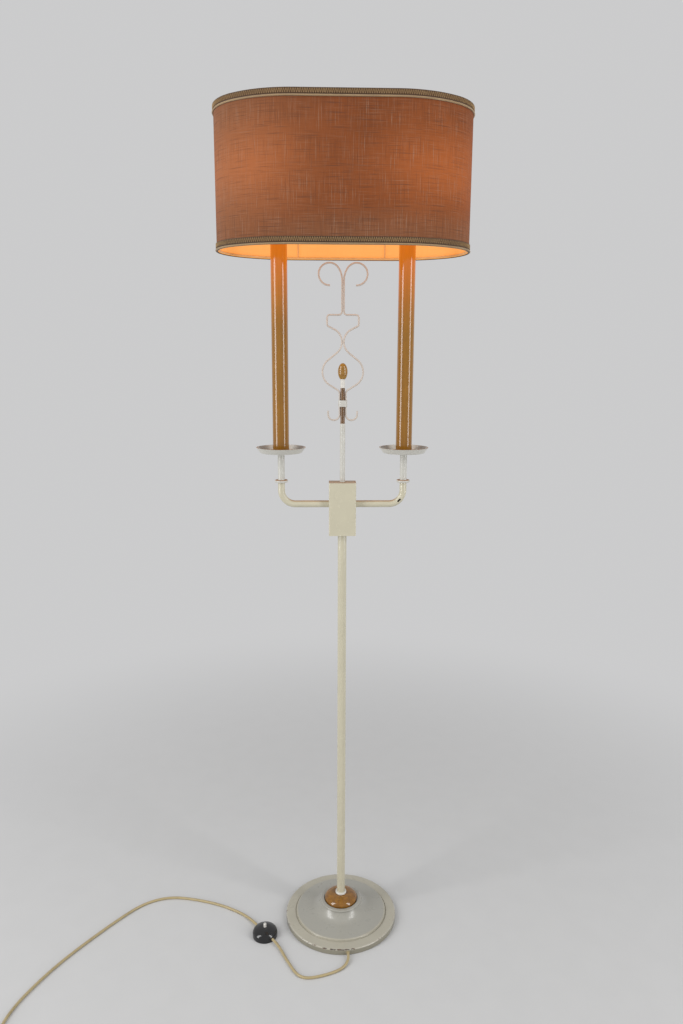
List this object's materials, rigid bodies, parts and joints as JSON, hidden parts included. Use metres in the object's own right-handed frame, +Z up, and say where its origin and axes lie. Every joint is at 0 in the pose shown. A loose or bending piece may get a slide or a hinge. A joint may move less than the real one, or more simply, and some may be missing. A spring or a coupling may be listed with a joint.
{
  "type": "floor lamp",
  "caption": "Free-standing floor lamp: round weighted foot, slim pole, upturned arms with tall candle tubes, wire scroll ornament and an oval drum shade; foot switch on the cord.",
  "frame": {"origin": "on the floor under the middle of the pole", "axes": "+Z up along the pole, +X to the right and -Y to the front, as the picture looks at it"},
  "size_m": [0.8065, 0.4894, 1.524],
  "materials": {
    "cream_enamel": "satin enamel with fine orange peel, chipped at the foot's edge",
    "cream_wire": "satin enamel",
    "iron_weight": "rough casting",
    "steel": "plain",
    "brass_thread": "plain",
    "nickel": "bright",
    "felt": "pressed felt",
    "rubber": "smooth",
    "amber_bun": "mottled, polished",
    "amber_candle": "slightly translucent, polished",
    "white_collar": "smooth",
    "terminal_plastic": "moulded",
    "holder_plastic": "moulded",
    "bulb_glass": "frosted, warm",
    "linen": "slubbed linen, lit from inside",
    "liner_cloth": "plain cloth",
    "braid": "flat gimp braid",
    "frame_wire": "white lacquer",
    "cord_plastic": "satin, cream gold",
    "lead_plastic": "satin",
    "switch_black": "polished",
    "switch_base_plastic": "moulded",
    "plug_plastic": "moulded, cream gold"
  },
  "bodies": {
    "lamp": {"foot_shell": "cream_enamel", "foot_weight": "iron_weight", "foot_pad": "felt", "cord_grommet": "rubber", "foot_washer": "steel", "thread_nuts": "brass_thread", "foot_nipple": "brass_thread", "foot_bun": "amber_bun", "pole_collar": "white_collar", "pole_tube": "cream_enamel", "pole_bushes": "steel", "block_body": "cream_enamel", "block_top_cap": "cream_enamel", "block_bottom_cap": "cream_enamel", "block_nipple": "brass_thread", "stem_stud_and_nut": "steel", "terminal_block": "terminal_plastic", "arm_left": "cream_enamel", "arm_right": "cream_enamel", "arm_locknuts": "brass_thread", "arm_rings": "cream_enamel", "riser_left": "cream_enamel", "riser_right": "cream_enamel", "drip_dish_left": "cream_enamel", "drip_dish_right": "cream_enamel", "candle_cups": "steel", "cup_nipples": "brass_thread", "candle_left": "amber_candle", "candle_right": "amber_candle", "shade_seats": "cream_enamel", "lamp_holder_left": "holder_plastic", "lamp_holder_right": "holder_plastic", "screw_shells": "brass_thread", "bulb_caps": "nickel", "bulb_left": "bulb_glass", "bulb_right": "bulb_glass", "lead_pole": "cord_plastic", "leads_arms": "lead_plastic", "stem_tube": "cream_enamel", "stem_rod": "cream_enamel", "bead": "amber_bun", "scroll_wire_left": "cream_wire", "scroll_wire_right": "cream_wire", "clasp_band": "cream_enamel", "cord_to_switch": "cord_plastic", "cord_to_coil": "cord_plastic", "cord_coil": "cord_plastic", "switch_base": "switch_base_plastic", "switch_dome": "switch_black", "plug_body": "plug_plastic", "plug_pins": "nickel"},
    "shade": {"shade_cover": "linen", "shade_liner": "liner_cloth", "shade_trim_bottom": "braid", "shade_trim_top": "braid", "shade_ring_bottom": "frame_wire", "shade_ring_top": "frame_wire", "shade_ribs": "frame_wire", "shade_carrier": "frame_wire"},
    "button": {"switch_button": "nickel"}
  },
  "joints": [
    {"name": "shade_lift", "type": "slide", "parent": "lamp", "child": "shade", "axis": [0, 0, 1], "range_m": [0, 0.11]},
    {"name": "switch_press", "type": "slide", "parent": "lamp", "child": "button", "axis": [0, 0, -1], "range_m": [0, 0.003], "stiffness_N_per_m": 800, "springref_m": -0.002}
  ]
}
